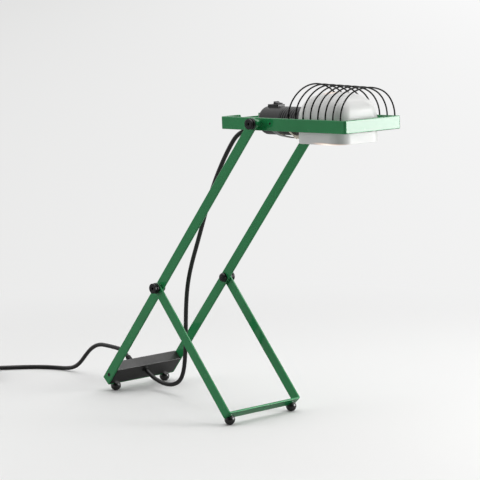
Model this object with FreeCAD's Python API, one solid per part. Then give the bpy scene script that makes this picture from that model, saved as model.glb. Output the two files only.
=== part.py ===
import FreeCAD, Part
import math
import os

# Table lamp on a folding frame of flat steel bar. Millimetres, +Z up, origin on the floor at the
# middle of the lamp's box. The head reaches toward +X, the axes of all pivots run along Y.

Vec = FreeCAD.Vector
ALONG_Y = Vec(0, 1, 0)

# Frame bars
bar_thickness = 3.0
bar_width = 15.0
bar_edge_radius = 1.0
bend_outer = 3.0
bend_inner = 0.8
bar_end_radius = bar_width / 2

# Main frame: a U whose closed end stands at the back
arm_angle = 51.2            # lean of the long bars above the floor, degrees
knee_x = -111.7
knee_z = 167.4
arm_to_head = 309.0         # knee axis to head axis
arm_to_cross = 196.0        # knee axis to the outer face of the lower cross piece
arm_half_outer = 61.0
arm_half_inner = arm_half_outer - bar_thickness

# Front legs: a shorter U outside the long bars
leg_angle = 46.6            # slope of the legs below level, degrees
leg_half_inner = 62.0
leg_half_outer = leg_half_inner + bar_thickness
leg_to_cross = 212.0

# Head frame: a closed rectangle of slightly higher bar
head_tilt = 2.8
head_front = 158.3          # ahead of the head axis
head_rear = 74.7            # behind the head axis
rear_dip_half = 17.0        # shallow dip in the upper edge of the rear bar
rear_dip_depth = 3.5
rear_dip_corner = 2.0
head_half_outer = 49.5
head_half_inner = head_half_outer - bar_thickness
head_bar_low = -9.6         # its lower and upper edges, from the head axis
head_bar_high = 7.1

# Pivots
bolt_radius = 2.5
fit_clearance = 0.03        # between fixed pieces
running_clearance = 0.06    # between a bolt and the bar that turns on it
side_gap = 0.3              # between bars and caps that turn against each other
washer_thickness = 0.7
washer_radius = 7.0
knob_radius = 7.5
knob_thickness = 7.2
knob_edge = 1.4
knob_recess_radius = 1.9
knob_bore_depth = 4.6
nut_radius = 6.5
nut_thickness = 6.0
spacer_radius = 5.0

# Guard: arched wires in holes of the head frame's top edge
wire_count = 8
wire_radius = 1.0
wire_first = 54.9
wire_pitch = 13.5
wire_half_span = 48.0
wire_spring = 7.0           # height where the arch leaves the vertical
wire_apex = 48.6
wire_drop = 0.5             # each arch is this much lower than the one behind it
wire_side_radius = 36.0
wire_foot = 1.5             # bottom of the hole, above the bar's mid-height

# Shade: a tub of sheet metal, open below
shade_rear = 52.5
shade_front = 137.5
shade_half_width = 40.0
shade_corner = 20.0
shade_rim = -25.1
shade_spring = -6.0         # height where the dome begins
shade_apex = 38.8
dome_along = 0.87           # how fully the dome keeps its length, width and height as it closes
dome_across = 0.98
dome_rise = 0.49
dome_fullness = 0.80
shade_wall = 1.5
shade_hole_radius = 21.5
vent_from = 83.3
vent_to = 98.3
vent_half_width = 8.0

# Lampholder, on an axis along the head frame
holder_height = -0.4
holder_radius = 18.7
holder_rear = -39.7
holder_split = 3.0
holder_front = 46.5
holder_rear_rounding = 6.5
holder_wall = 2.0
sleeve_rib_pitch = 4.2
sleeve_groove_depth = 0.7
switch_from = -29.6
switch_to = -9.9
switch_half_width = 6.8
switch_top = 21.0
rocker_x = -17.2
rocker_z = 18.9
rocker_half_length = 4.4
rocker_half_width = 4.0
rocker_height = 5.1         # its upper face, above the pin
rocker_tip = 15.0           # the rocker rests tipped this far, degrees
rocker_pin_radius = 1.0
rocker_pin_half = 5.8
well_half_length = 5.5
well_half_width = 4.5
well_depth = 2.5

# Collar between lampholder and shade
collar_from = 44.2
collar_small = 18.85        # inner radius at the lampholder
collar_large = 21.5
collar_wall = 1.2
collar_slots = 24
collar_slot_width = 2.4

# Bulb with a 27 mm screw cap
socket_from = holder_split - 5.3    # rear of the socket's insert
cap_from = 12.7
cap_to = 36.7
cap_radius = 13.2
bulb_radius = 22.5
bulb_centre = 69.2
glass_wall = 0.9
neck_radius = 11.9

# Strap that carries the lampholder
strap_x = 21.0
strap_width = 10.0
strap_thickness = 1.2
strap_screw_radius = 1.5
saddle_from = 18.7
saddle_to = 30.5
saddle_slope_from = 21.4
saddle_radius = 24.6        # inner radius at its wide end
saddle_wall = 1.1
saddle_half_width = 17.0
saddle_slots = (-48, -24, 0, 24, 48)
saddle_slot_width = 1.6

# Terminal box between the long bars, on the lower cross piece
box_top = -164.0            # along the arm from the knee
box_half_depth = 8.0
box_half_length = 57.7
box_wall = 1.5
box_corner = 1.2            # clears the bends of the bar
box_screw_along = -181.5
box_screw_radius = 1.5
cord_entry_along = -172.5
cord_entry_y = -4.0
lead_exit_along = -186.0
lead_exit_y = -7.0

# Feet
foot_radius = 7.25
foot_height = 7.0           # the ball's centre, so that it stands on a small flat
front_foot_y = 56.0
front_foot_across = -7.5
rear_foot_y = 45.0
rear_foot_across = -8.0
foot_screw_radius = 1.5
foot_screw_head = 2.8
foot_screw_sink = 1.5
foot_screw_across = -3.6

# Cords
cord_radius = 3.0
corner_share = 0.45         # share of the shorter run that an arc takes on each side of a corner
lead_length = 1800.0
relief_length = 20.0
relief_base = 5.2
relief_end = 3.9

os.makedirs("parts", exist_ok=True)


def rotation_y(degrees):
    return FreeCAD.Rotation(ALONG_Y, degrees)


knee = Vec(knee_x, 0, knee_z)
arm_placement = FreeCAD.Placement(knee, rotation_y(-arm_angle))
leg_placement = FreeCAD.Placement(knee, rotation_y(leg_angle))
head_axis = arm_placement.multVec(Vec(arm_to_head, 0, 0))
head_placement = FreeCAD.Placement(head_axis, rotation_y(-head_tilt))


def placed(shape, placement):
    return shape.transformed(placement.toMatrix(), True)


def box(low, high):
    size = Vec(*high) - Vec(*low)
    return Part.makeBox(size.x, size.y, size.z, Vec(*low))


def rod_y(radius, y_from, y_to, x=0.0, z=0.0):
    return Part.makeCylinder(radius, y_to - y_from, Vec(x, y_from, z), ALONG_Y)


def rod_x(radius, x_from, x_to, y=0.0, z=0.0):
    return Part.makeCylinder(radius, x_to - x_from, Vec(x_from, y, z), Vec(1, 0, 0))


def mirrored(shape):
    return shape.mirror(Vec(0, 0, 0), ALONG_Y)


def both_sides(shape):
    return [shape, mirrored(shape)]


def rounded_box(low, high, radius, direction):
    """A box whose edges along one direction are rounded."""
    solid = box(low, high)
    edges = [e for e in solid.Edges if abs(abs(e.tangentAt(e.FirstParameter).dot(direction)) - 1) < 1e-6]
    return solid.makeFillet(radius, edges)


def turned(outline, start, direction):
    """A solid turned about a line, from the edges of its half section."""
    return Part.Face(Part.Wire(outline)).revolve(start, direction, 360)


def polygon(points):
    vertices = [Vec(*p) for p in points]
    return Part.makePolygon(vertices + [vertices[0]])


def turned_x(points, z=0.0):
    """A solid turned about a line along X at height z, from (x, radius) points."""
    face = Part.Face(polygon([(x, 0, z + r) for x, r in points]))
    return face.revolve(Vec(0, 0, z), Vec(1, 0, 0), 360)


def turned_y(points, x=0.0, z=0.0):
    """A solid turned about a line along Y, from (y, radius) points."""
    face = Part.Face(polygon([(x + r, y, z) for y, r in points]))
    return face.revolve(Vec(x, 0, z), ALONG_Y, 360)


def rounded_route(points):
    """Straight runs joined by tangent arcs: edges, length and the arcs' radii."""
    edges = []
    length = 0.0
    radii = []
    at = points[0]
    for i in range(1, len(points) - 1):
        before = points[i] - points[i - 1]
        after = points[i + 1] - points[i]
        turn = before.getAngle(after)
        cut = corner_share * min(before.Length, after.Length)
        radius = cut / math.tan(turn / 2)
        radii.append(radius)
        back = Vec(before).normalize()
        ahead = Vec(after).normalize()
        arc_from = points[i] - back * cut
        arc_to = points[i] + ahead * cut
        inward = (ahead - back).normalize()
        arc_middle = points[i] + inward * (radius / math.cos(turn / 2) - radius)
        edges.append(Part.LineSegment(at, arc_from).toShape())
        edges.append(Part.Arc(arc_from, arc_middle, arc_to).toShape())
        length += (arc_from - at).Length + radius * turn
        at = arc_to
    edges.append(Part.LineSegment(at, points[-1]).toShape())
    length += (points[-1] - at).Length
    return edges, length, radii


def tube(edges, radius):
    """A round tube along edges that meet without a corner."""
    wire = Part.Wire(edges)
    first = wire.Edges[0]
    start = first.valueAt(first.FirstParameter)
    heading = first.tangentAt(first.FirstParameter)
    circle = Part.Wire(Part.Circle(start, heading, radius).toShape())
    return wire.makePipeShell([circle], True, False)


def cord_tube(name, points):
    edges, length, radii = rounded_route(points)
    solid = tube(edges, cord_radius)
    expected = math.pi * cord_radius ** 2 * length
    print(name, "length", round(length, 1), "volume ratio", round(solid.Volume / expected, 4),
          "radii", [round(r) for r in radii])
    return solid, length


def flat_bar_u(cross, pivot, half_outer, hole_radius, more_holes):
    """A U of flat bar in its own frame: cross piece at x = cross, rounded ends about x = pivot."""
    toward = 1 if pivot > cross else -1
    far = pivot + toward * bar_end_radius
    half = bar_width / 2
    low, high = min(cross, far + toward), max(cross, far + toward)
    outer = box((low, -half_outer, -half), (high, half_outer, half))
    corners = [e for e in outer.Edges if e.BoundBox.ZLength > half and abs(e.CenterOfMass.x - cross) < 1e-6]
    outer = outer.makeFillet(bend_outer, corners)
    half_inner = half_outer - bar_thickness
    wall = cross + toward * bar_thickness
    low, high = min(wall, far + 2 * toward), max(wall, far + 2 * toward)
    inner = box((low, -half_inner, -half - 1), (high, half_inner, half + 1))
    corners = [e for e in inner.Edges if e.BoundBox.ZLength > half and abs(e.CenterOfMass.x - wall) < 1e-6]
    inner = inner.makeFillet(bend_inner, corners)
    low, high = min(cross, pivot), max(cross, pivot)
    outline = box((low, -half_outer, -half), (high, half_outer, half))
    outline = outline.fuse(rod_y(bar_end_radius, -half_outer, half_outer, x=pivot)).removeSplitter()
    solid = outer.cut(inner).common(outline)
    solid = solid.makeFillet(bar_edge_radius, long_edges(solid, half))
    holes = [(pivot, hole_radius)] + more_holes
    for x, radius in holes:
        solid = solid.cut(rod_y(radius, -half_outer - 1, half_outer + 1, x=x))
    return solid


def long_edges(solid, half_height):
    """The edges that run round a bar's skins, without the short seams across its thickness."""
    chosen = []
    for edge in solid.Edges:
        bounds = edge.BoundBox
        upright = bounds.ZLength > 2 * half_height - 0.01 and bounds.XLength < 1e-6
        across = max(bounds.XLength, bounds.ZLength, abs(bounds.YLength - bar_thickness)) < 1e-6
        inside = abs(abs(edge.CenterOfMass.z) - half_height) > 1e-6 and bounds.ZLength < 1e-6
        if not (upright or across or inside):
            chosen.append(edge)
    return chosen


def countersunk_screw(length):
    """A countersunk screw along -Z with its face at the origin."""
    outline = [(0, 0), (foot_screw_head, 0), (foot_screw_radius, -foot_screw_sink),
               (foot_screw_radius, -length), (0, -length)]
    face = Part.Face(polygon([(r, 0, z) for r, z in outline]))
    screw = face.revolve(Vec(0, 0, 0), Vec(0, 0, 1), 360)
    slot = box((-foot_screw_head, -0.35, -0.7), (foot_screw_head, 0.35, 0.1))
    return screw.cut(slot)


def set_screw(length, radius, y_outer):
    """A socket screw along Y, flush with y_outer, with its hexagonal recess outside."""
    screw = rod_y(radius, y_outer - length, y_outer)
    corner = 0.9
    hexagon = [(corner * math.cos(math.radians(60 * k)), y_outer - 1.6,
                corner * math.sin(math.radians(60 * k))) for k in range(6)]
    recess = Part.Face(polygon(hexagon)).extrude(Vec(0, 2, 0))
    return screw.cut(recess)


def knob(y_inner):
    """A round cap on +Y whose bore takes a bolt's end and whose face has a small recess."""
    face = y_inner + knob_thickness
    points = [(y_inner, 0), (y_inner, knob_radius - 0.5), (y_inner + 0.5, knob_radius),
              (face - knob_edge, knob_radius), (face - knob_edge * 0.3, knob_radius - knob_edge * 0.3),
              (face, knob_radius - knob_edge), (face, 3.6), (face - 0.5, 3.2), (face - 0.5, 0)]
    solid = turned_y(points)
    solid = solid.cut(rod_y(bolt_radius + fit_clearance, y_inner - 1, y_inner + knob_bore_depth))
    return solid.cut(rod_y(knob_recess_radius, y_inner, face + 1))


# Main frame, legs and what holds them together

def make_main_frame():
    holes = [(0.0, bolt_radius + fit_clearance), (box_screw_along, box_screw_radius + fit_clearance)]
    return flat_bar_u(-arm_to_cross, arm_to_head, arm_half_outer, bolt_radius + running_clearance, holes)


def make_leg_frame():
    return flat_bar_u(leg_to_cross, 0.0, leg_half_outer, bolt_radius + running_clearance, [])


knob_inner_y = leg_half_outer + side_gap
head_knob_inner_y = arm_half_outer + side_gap


def make_knee_set():
    bolt = rod_y(bolt_radius, arm_half_inner - nut_thickness + 2, knob_inner_y + knob_bore_depth - 0.1)
    washer = rod_y(washer_radius, arm_half_outer, arm_half_outer + washer_thickness)
    washer = washer.cut(rod_y(bolt_radius + fit_clearance, arm_half_outer - 1, arm_half_outer + 2))
    inner = arm_half_inner
    dome = [(inner, 0), (inner, nut_radius), (inner - 2.5, nut_radius), (inner - 4.4, nut_radius - 0.9),
            (inner - 5.6, nut_radius - 2.6), (inner - nut_thickness, nut_radius - 4.6),
            (inner - nut_thickness, 0)]
    nut = turned_y(dome)
    nut = nut.cut(rod_y(bolt_radius + fit_clearance, inner - nut_thickness + 1.9, inner + 1))
    return bolt, washer, nut, knob(knob_inner_y)


def foot(placement, inner_side, across, side_y, along_sign):
    """A rubber ball under a cross piece, notched over its lower outer edge."""
    slope = placement.Rotation.multVec(Vec(1, 0, 0)).z
    lift = placement.Rotation.multVec(Vec(0, 0, 1)).z
    along = (foot_height - knee_z - across * lift) / slope
    centre = placement.multVec(Vec(along, side_y, across))
    ball = Part.makeSphere(foot_radius, centre)
    floor_block = box((centre.x - 20, side_y - 20, -20), (centre.x + 20, side_y + 20, 0))
    low = min(inner_side, inner_side - along_sign * 40)
    block = box((low, side_y - 20, -20), (low + 40, side_y + 20, 20))
    ball = ball.cut(floor_block).cut(placed(block, placement))
    head_at = Vec(inner_side, side_y, foot_screw_across)
    screw = countersunk_screw(8.5)
    screw.rotate(Vec(0, 0, 0), ALONG_Y, 90 * along_sign * -1)
    screw.translate(head_at)
    return ball, placed(screw, placement)


# Head

def make_head_frame():
    low, high = head_bar_low, head_bar_high
    outer = rounded_box((-head_rear, -head_half_outer, low), (head_front, head_half_outer, high),
                        bend_outer, Vec(0, 0, 1))
    inner = rounded_box((-head_rear + bar_thickness, -head_half_inner, low - 1),
                        (head_front - bar_thickness, head_half_inner, high + 1), bend_inner, Vec(0, 0, 1))
    solid = outer.cut(inner)
    rims = [e for e in solid.Edges if e.BoundBox.ZLength < 1e-6]
    solid = solid.makeFillet(bar_edge_radius, rims)
    dip = rounded_box((-head_rear - 1, -rear_dip_half, high - rear_dip_depth),
                      (-head_rear + bar_thickness + 1, rear_dip_half, high + 10),
                      rear_dip_corner, Vec(1, 0, 0))
    solid = solid.cut(dip)
    solid = solid.cut(rod_y(bolt_radius + fit_clearance, -head_half_outer - 1, head_half_outer + 1))
    solid = solid.cut(rod_y(strap_screw_radius + fit_clearance, -head_half_outer - 1,
                            head_half_outer + 1, x=strap_x))
    for x in wire_places():
        for side in (-1, 1):
            hole = Part.makeCylinder(wire_radius + fit_clearance, head_bar_high,
                                     Vec(x, side * wire_half_span, wire_foot))
            solid = solid.cut(hole)
    return solid


def wire_places():
    return [wire_first + wire_pitch * k for k in range(wire_count)]


def arch(half_span, spring, apex, side_radius):
    """Mid-line of an arch of three arcs: side arcs of one radius and a flatter top arc."""
    inset = half_span - side_radius
    rise = apex - spring
    top_radius = (inset ** 2 + rise ** 2 - side_radius ** 2) / (2 * (rise - side_radius))
    side_centre = Vec(0, inset, spring)
    top_centre = Vec(0, 0, apex - top_radius)
    away = (side_centre - top_centre).normalize()
    joint = side_centre + away * side_radius
    angle = math.atan2(away.z, away.y) / 2
    side_middle = side_centre + Vec(0, math.cos(angle), math.sin(angle)) * side_radius
    mirror = lambda p: Vec(p.x, -p.y, p.z)
    start = Vec(0, half_span, spring)
    return [Part.Arc(mirror(start), mirror(side_middle), mirror(joint)).toShape(),
            Part.Arc(mirror(joint), Vec(0, 0, apex), joint).toShape(),
            Part.Arc(joint, side_middle, start).toShape()]


def make_guard():
    y = wire_half_span
    wires = []
    for k, x in enumerate(wire_places()):
        bend = [Part.LineSegment(Vec(0, -y, wire_foot), Vec(0, -y, wire_spring)).toShape()]
        bend += arch(y, wire_spring, wire_apex - wire_drop * k, wire_side_radius)
        bend += [Part.LineSegment(Vec(0, y, wire_spring), Vec(0, y, wire_foot)).toShape()]
        wire = tube(bend, wire_radius)
        wire.translate(Vec(x, 0, 0))
        wires.append(wire)
    return wires


def rounded_rectangle(half_x, half_y, radius, centre_x, z):
    """Closed wire of four lines and four arcs, always started at the same corner."""
    x, y, r = half_x, half_y, radius
    middle = r * (1 - math.sqrt(0.5))
    corners = [((x - r, y), (x - middle, y - middle), (x, y - r)),
               ((x, -y + r), (x - middle, -y + middle), (x - r, -y)),
               ((-x + r, -y), (-x + middle, -y + middle), (-x, -y + r)),
               ((-x, y - r), (-x + middle, y - middle), (-x + r, y))]
    edges = []
    previous = None
    for corner in corners:
        a, b, c = [Vec(centre_x + px, py, z) for px, py in corner]
        if previous is not None:
            edges.append(Part.LineSegment(previous, a).toShape())
        edges.append(Part.Arc(a, b, c).toShape())
        previous = c
    first = Vec(centre_x + corners[0][0][0], corners[0][0][1], z)
    edges.append(Part.LineSegment(previous, first).toShape())
    return Part.Wire(edges)


def tub(inset, rim):
    """The shade's outer form drawn in by a wall: upright sides under a smooth dome."""
    half_x = (shade_front - shade_rear) / 2 - inset
    half_y = shade_half_width - inset
    corner = shade_corner - inset
    centre_x = (shade_front + shade_rear) / 2
    rise = shade_apex - inset - shade_spring
    base = rounded_rectangle(half_x, half_y, corner, centre_x, rim)
    skirt = Part.Face(base).extrude(Vec(0, 0, shade_spring - rim))
    sections = []
    for angle in (0, 2, 7, 14, 24, 36, 49, 62, 73, 81, 86):
        turn = math.radians(angle)
        x = half_x * math.cos(turn) ** dome_along
        y = half_y * math.cos(turn) ** dome_across
        fullness = corner / half_x + (dome_fullness - corner / half_x) * math.sin(turn)
        sections.append(rounded_rectangle(x, y, min(x, y) * fullness, centre_x,
                                          shade_spring + rise * math.sin(turn) ** dome_rise))
    dome = Part.makeLoft(sections, True, False)
    return skirt.fuse(dome)


def make_shade():
    shell = tub(0.0, shade_rim).cut(tub(shade_wall, shade_rim - 1))
    shell = shell.cut(rod_x(shade_hole_radius, shade_rear - 5, shade_rear + 12, z=holder_height))
    vent = rounded_box((vent_from, -vent_half_width, shade_spring + 20),
                       (vent_to, vent_half_width, shade_apex + 5), 2.5, Vec(0, 0, 1))
    return shell.cut(vent)


def make_collar():
    start, end = collar_from, shade_rear
    flange = 2.0
    points = [(start, collar_small), (end - 1.2, collar_large - 0.2), (end, collar_large - 0.2),
              (end, collar_large + collar_wall), (end - 1.2, collar_large + collar_wall),
              (start + 0.2, collar_small + collar_wall), (start, collar_small + collar_wall)]
    cone = turned_x(points, holder_height)
    slot = box((start + flange, -collar_slot_width / 2, collar_small - 4),
               (end - flange, collar_slot_width / 2, collar_large + 6))
    for k in range(collar_slots):
        cutter = slot.copy()
        cutter.rotate(Vec(0, 0, 0), Vec(1, 0, 0), 360 * (k + 0.5) / collar_slots)
        cutter.translate(Vec(0, 0, holder_height))
        cone = cone.cut(cutter)
    return cone


def make_holder_body():
    r = holder_radius
    q = holder_rear_rounding
    rear = holder_rear
    middle = q * (1 - math.sqrt(0.5))
    z = holder_height
    outline = [Part.LineSegment(Vec(rear, 0, z), Vec(rear, 0, z + r - q)).toShape(),
               Part.Arc(Vec(rear, 0, z + r - q), Vec(rear + middle, 0, z + r - middle),
                        Vec(rear + q, 0, z + r)).toShape(),
               Part.LineSegment(Vec(rear + q, 0, z + r), Vec(holder_split, 0, z + r)).toShape(),
               Part.LineSegment(Vec(holder_split, 0, z + r), Vec(holder_split, 0, z)).toShape(),
               Part.LineSegment(Vec(holder_split, 0, z), Vec(rear, 0, z)).toShape()]
    body = turned(outline, Vec(0, 0, z), Vec(1, 0, 0))
    block = rounded_box((switch_from, -switch_half_width, z), (switch_to, switch_half_width, switch_top),
                        1.2, Vec(0, 0, 1))
    tops = [e for e in block.Edges if abs(e.CenterOfMass.z - switch_top) < 1e-6 and e.BoundBox.ZLength < 1e-6]
    block = block.makeFillet(0.6, tops)
    body = body.fuse(block).removeSplitter()
    bore = r - holder_wall
    cavity = turned_x([(rear + 3, 0), (rear + 3, 9.5), (rear + q, bore), (holder_split + 1, bore),
                       (holder_split + 1, 0)], z)
    body = body.cut(cavity)
    spigot = rod_x(r - holder_wall - 0.05, holder_split - 6, holder_split + 7, z=z)
    spigot = spigot.cut(rod_x(r - holder_wall - 1.5, holder_split - 7, holder_split + 8, z=z))
    shoulder = rod_x(r - 0.5, holder_split - 6, holder_split - 3, z=z)
    shoulder = shoulder.cut(rod_x(r - holder_wall - 1.5, holder_split - 7, holder_split + 8, z=z))
    body = body.fuse(spigot).fuse(shoulder)
    well = box((rocker_x - well_half_length, -well_half_width, rocker_z - well_depth),
               (rocker_x + well_half_length, well_half_width, switch_top + 1))
    body = body.cut(well)
    pin_room = rocker_pin_half + 0.1
    body = body.cut(rod_y(rocker_pin_radius + fit_clearance, -pin_room, pin_room, x=rocker_x, z=rocker_z))
    return body.cut(cord_bore()).removeSplitter()


def make_holder_sleeve():
    r = holder_radius
    points = [(holder_split, r - holder_wall), (holder_split, r - 0.6), (holder_split + 0.6, r)]
    ribs = int((collar_from - holder_split - 2) / sleeve_rib_pitch)
    for k in range(ribs):
        x = holder_split + 2.6 + sleeve_rib_pitch * k
        low = r - sleeve_groove_depth
        points += [(x, r), (x + 0.5, low), (x + 1.4, low), (x + 1.9, r)]
    points += [(holder_front - 0.8, r), (holder_front, r - 0.8), (holder_front, r - holder_wall)]
    return turned_x(points, holder_height)


def make_holder_insert():
    outline = [(0, 0), (0, 13.0), (1.5, 14.2), (12.7, 14.2), (12.7, 15.5), (32, 15.5), (32, 13.9),
               (13.2, 13.9), (13.2, 0)]
    insert = turned_x([(socket_from + x, r) for x, r in outline], holder_height)
    for y in (-6, 6):
        insert = insert.cut(rod_x(1.6, socket_from - 1, socket_from + 6, y=y, z=holder_height))
    return insert


def make_holder_contacts():
    seat = socket_from + 13.2
    end = seat + 20.8
    shell = turned_x([(seat, 13.35), (seat, 13.85), (end, 13.85), (end, 13.35)], holder_height)
    tongue = box((seat, -2, holder_height - 1.5), (seat + 0.6, 2, holder_height + 9))
    rivet = rod_x(2.0, seat + 0.6, seat + 1.2, z=holder_height)
    return [shell, tongue.fuse(rivet)]


def make_bulb():
    z = holder_height
    neck_end = cap_to + 0.3
    tip = bulb_centre + bulb_radius
    inner_r = bulb_radius - glass_wall
    join_r = neck_radius + 4.5
    inner_join = join_r - glass_wall * 0.9

    def ball_point(radius, across):
        return Vec(bulb_centre - math.sqrt(radius ** 2 - across ** 2), 0, z + across)

    def flank(neck, join, radius, start):
        joint = ball_point(radius, join)
        middle = Vec((neck_end + joint.x) / 2 + 1.0, 0, z + neck + (join - neck) * 0.36)
        top = Vec(bulb_centre, 0, z + radius)
        front = Vec(bulb_centre + radius, 0, z)
        half = math.sqrt(0.5) * radius
        straight = Part.LineSegment(Vec(start, 0, z + neck), Vec(neck_end, 0, z + neck)).toShape()
        lead_in = Part.Arc(Vec(neck_end, 0, z + neck), middle, joint).toShape()
        mid_angle = (math.pi - math.asin(join / radius) + math.pi / 2) / 2
        bulge = Vec(bulb_centre + radius * math.cos(mid_angle), 0, z + radius * math.sin(mid_angle))
        return [straight, lead_in, Part.Arc(joint, bulge, top).toShape(),
                Part.Arc(top, Vec(bulb_centre + half, 0, z + half), front).toShape()]

    start = cap_to - 2.0
    outer = flank(neck_radius, join_r, bulb_radius, start)
    inner = flank(neck_radius - glass_wall, inner_join, inner_r, start)
    closing = [Part.LineSegment(Vec(tip, 0, z), Vec(bulb_centre + inner_r, 0, z)).toShape(),
               Part.LineSegment(Vec(start, 0, z + neck_radius - glass_wall),
                                Vec(start, 0, z + neck_radius)).toShape()]
    ordered = Part.__sortEdges__(outer + inner + closing)
    glass = Part.Face(Part.Wire(ordered)).revolve(Vec(0, 0, z), Vec(1, 0, 0), 360)

    ridge, pitch = 0.7, 3.6
    points = [(cap_from, 0), (cap_from, 4.5), (cap_from + 1.2, 5.0), (cap_from + 2.4, 11.0)]
    x = cap_from + 2.8
    for _ in range(5):
        points += [(x, cap_radius - ridge), (x + 0.9, cap_radius), (x + 1.8, cap_radius)]
        points += [(x + 2.7, cap_radius - ridge)]
        x += pitch
    points += [(cap_to, cap_radius - ridge), (cap_to, neck_radius + 0.05), (start - 0.05, neck_radius + 0.05),
               (start - 0.05, 10.5), (cap_from + 3.4, 10.5), (cap_from + 2.6, 0)]
    cap = turned_x(points, z)
    return glass, cap


def make_saddle(bottom):
    """A slotted piece of a cone under the lampholder, no lower than the strap's underside."""
    near = holder_radius + 0.02
    outline = [(saddle_from, near), (saddle_slope_from, near), (saddle_to, saddle_radius),
               (saddle_to, saddle_radius + saddle_wall), (saddle_slope_from, near + saddle_wall),
               (saddle_from, near + saddle_wall)]
    cone = turned_x(outline, holder_height)
    w = saddle_half_width
    room = box((saddle_from - 1, -w, bottom), (saddle_to + 1, w, holder_height - 11))
    saddle = cone.common(room)
    for angle in saddle_slots:
        slot = box((saddle_slope_from + 2, -saddle_slot_width / 2, -40),
                   (saddle_to - 1.5, saddle_slot_width / 2, -5))
        slot.rotate(Vec(0, 0, 0), Vec(1, 0, 0), angle)
        slot.translate(Vec(0, 0, holder_height))
        saddle = saddle.cut(slot)
    return saddle


def make_strap():
    half = head_half_inner - strap_thickness / 2
    points = [Vec(0, -half, 6.5), Vec(0, -half, -7.5), Vec(0, -31.0, -16.6), Vec(0, 0, -23.5),
              Vec(0, 31.0, -16.6), Vec(0, half, -7.5), Vec(0, half, 6.5)]
    edges, _, _ = rounded_route(points)
    wire = Part.Wire(edges)
    t = strap_thickness / 2
    w = strap_width / 2
    section = polygon([(-w, -half - t, 6.5), (w, -half - t, 6.5), (w, -half + t, 6.5), (-w, -half + t, 6.5)])
    strap = wire.makePipeShell([section], True, False)
    strap.translate(Vec(strap_x, 0, 0))
    bottom = strap.BoundBox.ZMin
    strap = strap.cut(rod_y(strap_screw_radius + fit_clearance, -head_half_outer, head_half_outer, x=strap_x))
    saddle = make_saddle(bottom).cut(strap)
    screw = Part.makeCylinder(1.2, 3.1, Vec(strap_x, 0, bottom))
    hole = Part.makeCylinder(1.2 + fit_clearance, 3.5, Vec(strap_x, 0, bottom - 0.2))
    screw = screw.cut(box((strap_x - 2, -0.3, bottom - 1), (strap_x + 2, 0.3, bottom + 0.7)))
    return strap.cut(hole), saddle.cut(hole), screw


def make_rocker():
    """The rocker about its pin at the origin, tipped to its rest position."""
    a, b = rocker_half_length, rocker_half_width
    top = rocker_height
    profile = [(-a, -b, -0.6), (-a, -b, top), (-1.2, -b, top - 0.9), (1.2, -b, top - 0.9), (a, -b, top),
               (a, -b, -0.6), (2.0, -b, -1.9), (-2.0, -b, -1.9)]
    solid = Part.Face(polygon(profile)).extrude(Vec(0, 2 * b, 0))
    crests = [e for e in solid.Edges if e.CenterOfMass.z > top - 0.1 and e.BoundBox.YLength > b]
    solid = solid.makeFillet(0.4, crests)
    solid = solid.cut(rod_y(rocker_pin_radius + running_clearance, -b - 1, b + 1))
    solid.rotate(Vec(0, 0, 0), ALONG_Y, rocker_tip)
    solid.translate(Vec(rocker_x, 0, rocker_z))
    return solid


# The cord grommet at the back of the lampholder
grommet_face = Vec(holder_rear, -4.0, holder_height - 3.5)
grommet_reach = 6.0
grommet_depth = 4.5
grommet_neck = 4.15
grommet_heading = Vec(-0.80, -0.52, -0.30).normalize()


def cord_bore():
    """The round hole for the grommet, in the head's frame."""
    heading = head_placement.Rotation.inverted().multVec(grommet_heading)
    start = grommet_face - heading * 9.0
    return Part.makeCylinder(grommet_neck + 0.05, 14, start, heading)


def make_holder_grommet():
    """A rubber bush whose mouth the lamp cord leaves, in the lamp's own frame."""
    face = head_placement.multVec(grommet_face)
    start = face - grommet_heading * grommet_depth
    body = Part.makeCylinder(grommet_neck, grommet_depth + 1.0, start, grommet_heading)
    collar = Part.makeCone(5.2, 4.3, grommet_reach - 1.0, face + grommet_heading * 1.0, grommet_heading)
    bush = body.fuse(collar).removeSplitter()
    bush = bush.cut(placed(make_holder_body(), head_placement))
    return bush, face + grommet_heading * grommet_reach


# Terminal box

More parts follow.
